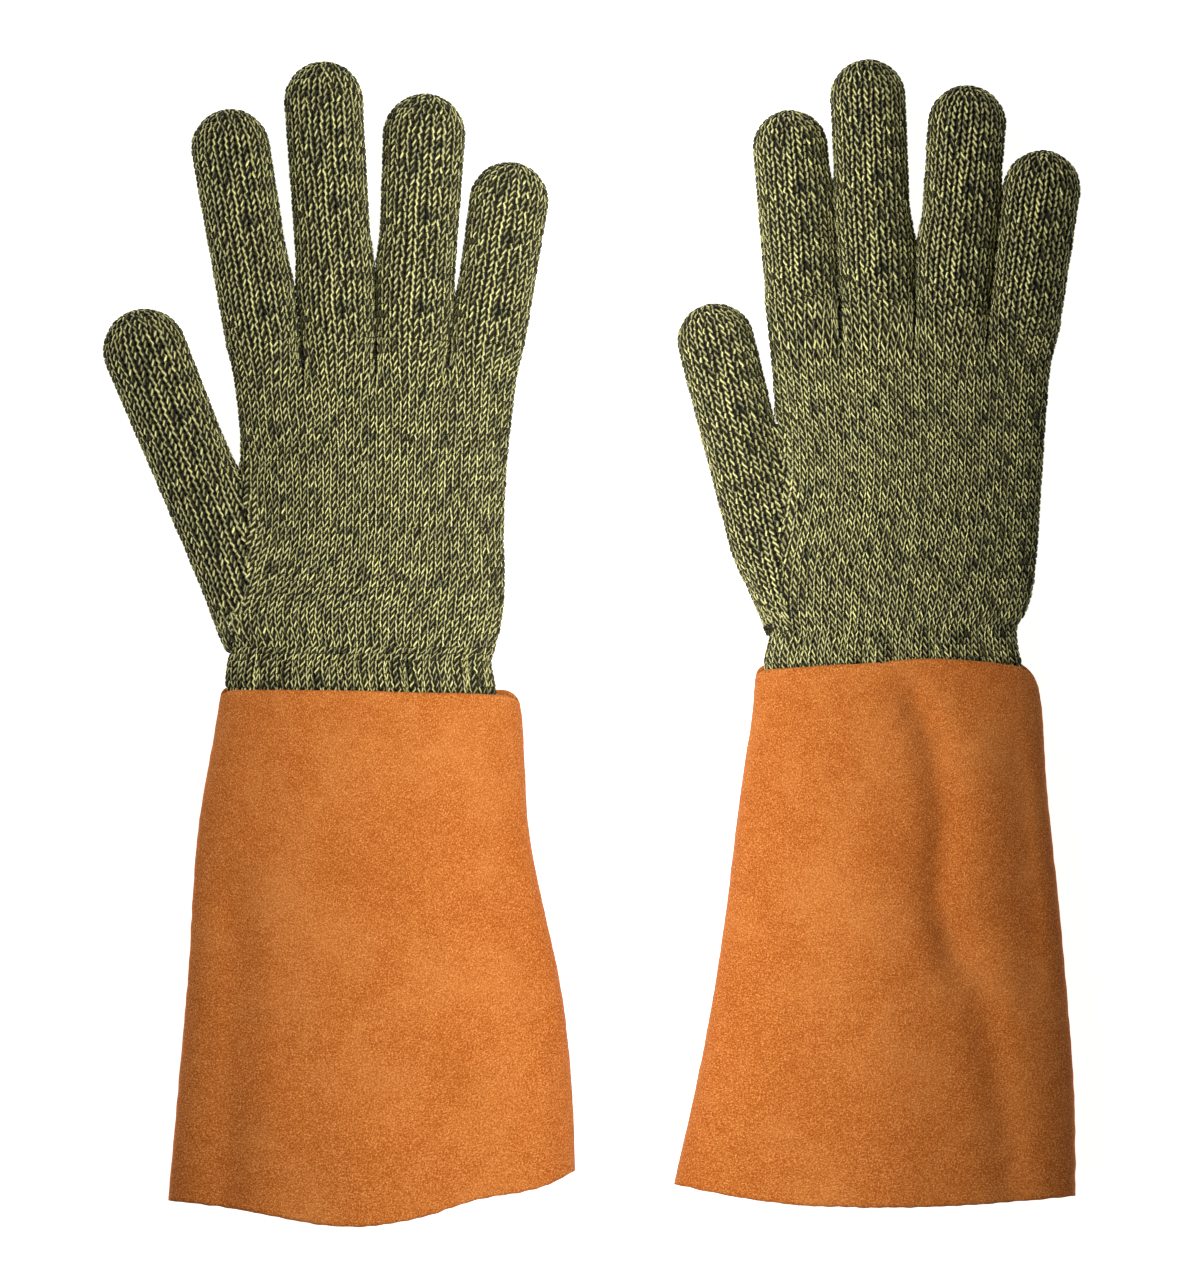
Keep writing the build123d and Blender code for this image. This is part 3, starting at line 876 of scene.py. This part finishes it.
def make_hand(glove, yarn, back):
    side = glove.side
    palm_slant = PALM_SWING, (0.09 if glove.palm_up else -0.13)
    finger_slant = FINGER_SWING, (0.03 if glove.palm_up else -0.04)
    materials = (yarn, back)
    palm = Palm(glove)
    thumb = Thumb(glove)
    wrist = Wrist(glove, palm)

    def palm_wales(v):
        return PALM_WALES

    def palm_keeps(p, overlap=THUMB_OVERLAP):
        return palm_distance(glove, p) <= thumb_distance(glove, p) + overlap

    def thumb_keeps(p):
        return thumb_distance(glove, p) <= palm_distance(glove, p) + THUMB_OVERLAP

    half = (wrist.start + palm.high) / 2
    for name, low, high in (("palm_lower", wrist.start, half), ("palm_upper", half, palm.high)):
        piece = knit_piece(f"{side}_{name}", palm, low, high, palm_wales, palm_slant, materials,
                           palm_keeps, (palm.raw, lambda p: thumb_distance(glove, p) < THUMB_HIDDEN, 0))
        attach(piece, f"{side}_hand")
        declare(f"{side}_palm")

    piece = knit_piece(f"{side}_wrist_knit", wrist, glove.wrist[-1][0] + 2, wrist.start, palm_wales, palm_slant,
                       materials, lambda p: palm_keeps(p, WRIST_OVERLAP))
    declare(f"{side}_wrist")
    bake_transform(piece)

    for finger in [glove.thumb] + glove.fingers:
        is_thumb = finger is glove.thumb
        surface = thumb if is_thumb else FingerTube(finger)
        start = -THUMB_ROOT + 2 if is_thumb else 0.2 - HIDDEN_COURSES * COURSE
        split = PIECE_SPLIT * finger.knuckle

        def wall_keeps(p, finger=finger):
            """Below the base, only the walls where the finger faces a neighbour."""
            reach, across = finger.local(p)
            near = np.where(across > 0, finger.right_touch[1] > 0, finger.left_touch[1] > 0)
            wall = near * np.abs(across) / finger.base_width
            return (reach > -0.7) | (wall > 0.40) | ((wall > 0.28) & (reach > -2.0))

        def wales_at(v, finger=finger):
            """Fewer columns over the tip, as its rows get shorter."""
            over = (v - finger.length) / (finger.tip_width / 2 - CLOTH)
            scale = np.cos(np.clip(over, 0, pi / 2))
            return int(max(round(min(FINGER_WALES * scale / FULL_ROW, FINGER_WALES)), FEWEST_WALES))

        def along(distance, finger=finger):
            return tuple(np.array([*(finger.start + finger.along * distance), 0]) * MM)

        body = f"{side}_{finger.name}"
        keep = thumb_keeps if is_thumb else wall_keeps
        inner = (thumb.raw, lambda p: palm_distance(glove, p) < THUMB_HIDDEN, THUMB_HIDDEN_TOP) if is_thumb else None
        base = knit_piece(f"{body}_base_knit", surface, start, split, wales_at, finger_slant, materials, keep, inner)
        tip = knit_piece(f"{body}_tip_knit", surface, split, surface.end - 0.3, wales_at, finger_slant, materials)
        declare(f"{body}_base")
        declare(f"{body}_tip")
        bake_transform(base)
        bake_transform(tip)


# ---- leather cuffs
@dataclass
class Fold:
    """A soft fold of the upper panel, drawn along stops (x, y); positive depth is a ridge, negative a valley."""
    stops: list
    depth: float
    width: float

    def __call__(self, x, y):
        stops = np.array(self.stops, float)
        stops = stops[np.argsort(stops[:, 1])]
        centre = np.interp(y, stops[:, 1], stops[:, 0])
        fade = smoothstep(y, stops[0, 1] - 14, stops[0, 1] + 10) * (
            1 - smoothstep(y, stops[-1, 1] - 10, stops[-1, 1] + 12))
        return self.depth * np.exp(-(((x - centre) / self.width) ** 2)) * fade


LEFT_FOLDS = [
    Fold([(-121.5, -82), (-121, -120), (-124, -160), (-127, -215)], -2.4, 8),
    Fold([(-108, -150), (-112, -215)], 1.2, 10),
    Fold([(-78, -165), (-81, -215)], 1.6, 22),
    Fold([(-46, -150), (-44, -215)], -2.4, 15),
    Fold([(-20, -150), (-18, -215)], 1.2, 10),
    Fold([(-34, -60), (-26, -100), (-14, -128)], -1.3, 8),
    Fold([(-52, -96), (-30, -124), (-16, -146)], 0.8, 6),
    Fold([(-96, -30), (-70, -34), (-40, -40)], -0.5, 14),
]
RIGHT_FOLDS = [
    Fold([(110, -16), (117, -34), (121, -60), (119, -88), (124, -112)], -3.0, 6.5),
    Fold([(127, -96), (136, -132), (142, -165), (146, -215)], -2.4, 8),
    Fold([(133, -30), (136, -60), (136, -92)], 0.9, 8),
    Fold([(147, -40), (150, -80), (152, -120)], -1.0, 6),
    Fold([(96, -60), (100, -120), (104, -215)], 1.2, 14),
    Fold([(45, -96), (42, -140), (38, -215)], 1.3, 5),
    Fold([(34, -150), (31, -215)], -0.8, 5),
    Fold([(66, -165), (64, -215)], -0.8, 14),
]


def cuff_sides(glove, y):
    """Left side, right side and height of the cuff at y."""
    return [curve(glove.cuff, column, y) for column in (1, 2, 3)]


def cuff_section(glove, y, upper):
    """Middle line of one panel's section at y, from seam to seam: seam allowance, bend, and half an oval."""
    left, right, height = cuff_sides(glove, y)
    half = LEATHER / 2
    centre, a = (left + right) / 2, (right - left) / 2 - half
    middle, b = height / 2 - SEAM_DROP, height / 2 - half
    low = half + SEAM_GAP
    angle = np.linspace(0.10, pi - 0.10, 241)
    x = centre - a * squared_off(np.cos(angle), OVAL_LEATHER)
    rise = np.maximum(b * squared_off(np.sin(angle), OVAL_LEATHER), low)
    turn = np.linspace(-pi / 2, 0, 6)[:-1]
    corner_x = left + half + EDGE_BEND * (1 - np.cos(turn))
    corner_z = low + EDGE_BEND * (1 + np.sin(turn))
    reach = np.linspace(SEAM_ALLOWANCE, 0, 6)[:-1]
    flange_x, flange_z = left + half + EDGE_BEND + reach, np.full(5, low)
    body = (x > left + half) & (x < right - half) & (rise > corner_z[-1] + 0.1)
    near_x, near_z = np.concatenate([flange_x, corner_x]), np.concatenate([flange_z, corner_z])
    xs = np.concatenate([near_x, x[body], (left + right) - near_x[::-1]])
    zs = np.concatenate([near_z, rise[body], near_z[::-1]])
    return xs, middle + (zs if upper else -zs)


def resample(points, count):
    """Points at even spacing along the line through some points."""
    run = run_along(points)
    even = np.linspace(0, run[-1], count)
    return np.stack([np.interp(even, run, column) for column in points.T], 1)


def corner_drop(line, corners):
    """How far the mouth's edge falls away towards the two sides, whose corners have these radii."""
    side = np.argmin(line[:, 0]), np.argmax(line[:, 0])
    run = np.arange(len(line))
    spacing = np.linalg.norm(line[1] - line[0])
    drop = np.zeros(len(line))
    for edge, radius, sign in ((side[0], corners[0], 1), (side[1], corners[1], -1)):
        past = np.clip(sign * (run - edge) * spacing / radius, 0, 1)
        drop = np.maximum(drop, radius * (1 - np.sqrt(1 - (1 - past) ** 2)))
    return drop


def panel_middle(glove, upper, folds, lift, corners):
    """Grid of points down the middle of a leather panel, in rows from its hem to its mouth."""
    grid = []
    for part in np.linspace(1, 0, PANEL_ROWS):
        level = PANEL_TOP - PANEL_LENGTH * part
        line = resample(np.stack(cuff_section(glove, level, upper), 1), PANEL_COLUMNS)
        mouth = curve(glove.mouth, 1, line[:, 0]) + lift[0] - corner_drop(line, corners)
        hem = curve(glove.hem, 1, line[:, 0]) + lift[1]
        y = mouth + (hem - mouth) * part
        # slide every point to the section at its own y
        left0, right0, height0 = cuff_sides(glove, level)
        left, right, height = cuff_sides(glove, y)
        across = (line[:, 0] - left0) / (right0 - left0)
        grid.append(np.stack([left + across * (right - left), y, line[:, 1] * height / height0], 1))
    grid = np.array(grid)
    if upper:
        x, y = grid[..., 0], grid[..., 1]
        left, right, _ = cuff_sides(glove, y)
        edge = smoothstep(np.minimum(x - left, right - x), 1.5, 10)
        drape = sum(fold(x, y) for fold in folds)
        grid[..., 2] += np.minimum(drape, HIGHEST_FOLD) * edge
    return grid


def turned_in(grid, normal):
    """Rows of points and normals that carry a panel on round its mouth and down inside the cuff."""
    tuck = LEATHER / 2 + 0.18
    column = np.arange(grid.shape[1])
    spacing = np.linalg.norm(grid[PANEL_MIDDLE_ROW, 1] - grid[PANEL_MIDDLE_ROW, 0])
    inward = np.minimum(column, column[::-1]) * spacing
    # near the side seams there is no room for the fold, and it dwindles to nothing
    room = (0.06 + 0.94 * smoothstep(inward, SEAM_ALLOWANCE + 4.5, SEAM_ALLOWANCE + 12))[:, None]
    mouth, out = grid[-1], normal[-1]
    down = unit(grid[-3] - mouth)
    rows, outs = [], []
    for turn in np.linspace(0, pi, 8)[1:]:
        rows.append(mouth - (out * (1 - np.cos(turn)) + down * np.sin(turn)) * tuck * room)
        outs.append(out * np.cos(turn) - down * np.sin(turn))
    for reach in np.arange(TURNED_STEP, TURNED_IN + 0.1, TURNED_STEP):
        behind = reach / MOUTH_ROW * room[:, 0]
        i = np.minimum(behind.astype(int), len(grid) - 2)
        on = grid[-1 - i, column] + (grid[-2 - i, column] - grid[-1 - i, column]) * (behind - i)[:, None]
        out = normal[-1 - i, column]
        rows.append(on - out * 2 * tuck * room)
        outs.append(-out)
    return np.array(rows), np.array(outs)


def make_panel(glove, name, upper, folds, material, corners, lift=(0, 0)):
    grid = panel_middle(glove, upper, folds, lift, corners)
    normal = unit(np.cross(np.gradient(grid, axis=1), np.gradient(grid, axis=0)))
    if not upper:
        normal = -normal
    rows, outs = turned_in(grid, normal)
    middle, out = np.concatenate([grid, rows]), np.concatenate([normal, outs])
    total, across = middle.shape[:2]
    run, width = run_along(middle), run_along(grid[PANEL_MIDDLE_ROW])
    rough = 0.06 * Waves(51 if upper else 52, 7.0)(middle[..., 0], middle[..., 1])
    middle[0, :, 1] -= 0.09 * Waves(53, 4.0)(middle[0, :, 0], middle[0, :, 1])
    half = LEATHER / 2
    outer = middle + out * (half + rough)[..., None]
    inner = middle - out * (half + 0.5 * rough)[..., None]
    verts = np.concatenate([outer.reshape(-1, 3), inner.reshape(-1, 3)])
    uvs = np.stack([np.tile(width, (total, 1)), run], -1).reshape(-1, 2)
    uvs = np.concatenate([uvs, uvs + (INNER_UV, 0)])
    index = np.arange(total * across).reshape(total, across)
    top = np.stack([index[:-1, :-1], index[:-1, 1:], index[1:, 1:], index[1:, :-1]], -1).reshape(-1, 4)
    shift = total * across

    def border(line):
        return np.stack([line[1:], line[:-1], line[:-1] + shift, line[1:] + shift], -1)

    faces = np.concatenate([top, top[:, ::-1] + shift, border(index[0, :]), border(index[-1, ::-1]),
                            border(index[::-1, 0]), border(index[:, -1])])
    if not upper:
        faces = faces[:, ::-1]
    piece = mesh_object(name, verts, faces, {"cut": uvs[faces.reshape(-1)]})
    piece.data.materials.append(material)
    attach(piece, f"{glove.side}_gauntlet")
    declare(name.replace("_leather", ""))


# ---- seams
def thread_tube(path, radius):
    """Closed-ended tube along a path, as a part for join."""
    tangent = unit(np.gradient(path, axis=0))
    side = unit(np.cross(tangent, (0.013, 0.021, 1.0)))
    size = np.full(len(path), radius)
    size[[0, -1]] *= 0.35
    size = size[:, None, None]
    run = run_along(path)
    verts, faces, uvs = tube(path, side, np.cross(side, tangent), size, size, THREAD_SIDES, run)
    last = (len(path) - 1) * THREAD_SIDES
    caps = np.array([[0, 1, 2, 3], [0, 3, 4, 5],
                     [last + 3, last + 2, last + 1, last], [last + 5, last + 4, last + 3, last]])
    uvs = {"yarn": np.concatenate([uvs.reshape(-1, 2), np.zeros((caps.size, 2))])}
    return verts.reshape(-1, 3), np.concatenate([faces.reshape(-1, 4), caps]), uvs, 0


def thread_object(glove, name, paths, radius, material):
    """Threads sewn through the cuff, as one piece in place of the CAD node of this name."""
    piece = join(f"{name}_stitches", [thread_tube(path, radius) for path in paths], [material])
    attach(piece, f"{glove.side}_gauntlet")
    declare(name)


def make_side_seam(glove, edge, material):
    """Two threads that pass to and fro through the seam allowances of the two panels."""
    column, inset = (1, SEAM_INSET) if edge == "thumb" else (2, -SEAM_INSET)
    y = np.arange(glove.mouth[1][1] - 14, -178, -STITCH / 10)
    x = curve(glove.cuff, column, y) + inset
    middle = curve(glove.cuff, 3, y) / 2 - SEAM_DROP
    wave = np.clip(2.2 * np.sin(pi * y / STITCH), -1, 1)
    reach = LEATHER + SEAM_GAP + STITCH_RADIUS * 0.6
    paths = [np.stack([x + side * 0.12, y, middle + side * wave * reach], 1) for side in (1, -1)]
    thread_object(glove, f"{glove.side}_cuff_{edge}_seam", paths, STITCH_RADIUS, material)


def make_wrist_seam(glove, material):
    """A zigzag of thread over the end of the knitted wrist, inside the cuff."""
    t = np.arange(ZIGZAGS * 8 + 1) / (ZIGZAGS * 8)
    end, left, right, low, high = glove.wrist[-1]
    y = end + 3.4 + 1.9 * (2 / pi) * np.arcsin(np.sin(2 * pi * ZIGZAGS * t))
    on = oval(glove.wrist, t, y)
    ring = on[:, [0, 2]] - ((left + right) / 2, (low + high) / 2)
    slope = np.gradient(ring, axis=0)
    out = unit(np.stack([-slope[:, 1], 0 * y, slope[:, 0]], 1))
    out *= np.sign((out[:, [0, 2]] * ring).sum(1))[:, None]
    thread_object(glove, f"{glove.side}_wrist_seam", [on + out * 1.25], 0.42, material)


# ---- stage
def make_camera():
    """Straight down on the pair, from far off, so that the gloves are seen in plan."""
    distance, view_height = 4.0, 0.4395
    data = bpy.data.cameras.new("camera")
    data.sensor_width = 36
    data.lens = 36 * distance / view_height
    data.clip_end = 20
    camera = add_object("camera", data)
    camera.location = (0.0033, 0.0014, distance)
    bpy.context.scene.camera = camera


def area_light(name, place, target, size, power):
    data = bpy.data.lights.new(name, "AREA")
    data.shape = "RECTANGLE"
    data.size, data.size_y = size
    data.energy = power
    light = add_object(name, data)
    light.location = place
    light.rotation_euler = (Vector(target) - Vector(place)).to_track_quat("-Z", "Y").to_euler()
    light.visible_camera = False


def make_stage():
    """A pale floor, a low soft light down the middle, and a weaker one from the left."""
    low, high = -3.0, 3.0
    verts = np.array([(low, low, 0), (high, low, 0), (high, high, 0), (low, high, 0)]) / MM
    floor = mesh_object("floor", verts, [[0, 1, 2, 3]])
    floor.data.materials.append(floor_material())
    world = bpy.data.worlds.new("studio")
    world.use_nodes = True
    background = world.node_tree.nodes["Background"]
    background.inputs["Color"].default_value = (1, 1, 1, 1)
    background.inputs["Strength"].default_value = 0.10
    bpy.context.scene.world = world
    area_light("key", (0.003, 0.01, 0.21), (0.003, 0.01, 0.0), (0.06, 0.60), 1.02)
    area_light("fill", (-0.42, 0.16, 0.22), (-0.10, 0.05, 0.0), (0.25, 0.45), 0.65)


make_camera()
make_stage()
BACKING_PAINTED_SHADE = painted_shade_backing_material()
make_hand(LEFT, yarn_material("left_yarn", 1.0), BACKING_PAINTED_SHADE)
make_hand(RIGHT, yarn_material("right_yarn", -1.0), BACKING_PAINTED_SHADE)
SUEDE = suede_material()
THREAD = thread_material()
# each glove's folds, and the radii of the corners of its cuff's mouth
for GLOVE, FOLDS, CORNERS in ((LEFT, LEFT_FOLDS, (4.0, 6.5)), (RIGHT, RIGHT_FOLDS, (4.0, 9.0))):
    TOP, UNDER = ("palm", "back") if GLOVE.palm_up else ("back", "palm")
    make_panel(GLOVE, f"{GLOVE.side}_cuff_{TOP}_panel_leather", True, FOLDS, SUEDE, CORNERS)
    make_panel(GLOVE, f"{GLOVE.side}_cuff_{UNDER}_panel_leather", False, [], SUEDE, CORNERS, (1.6, 1.4))
    for EDGE in ("thumb", "little"):
        make_side_seam(GLOVE, EDGE, THREAD)
    make_wrist_seam(GLOVE, THREAD)
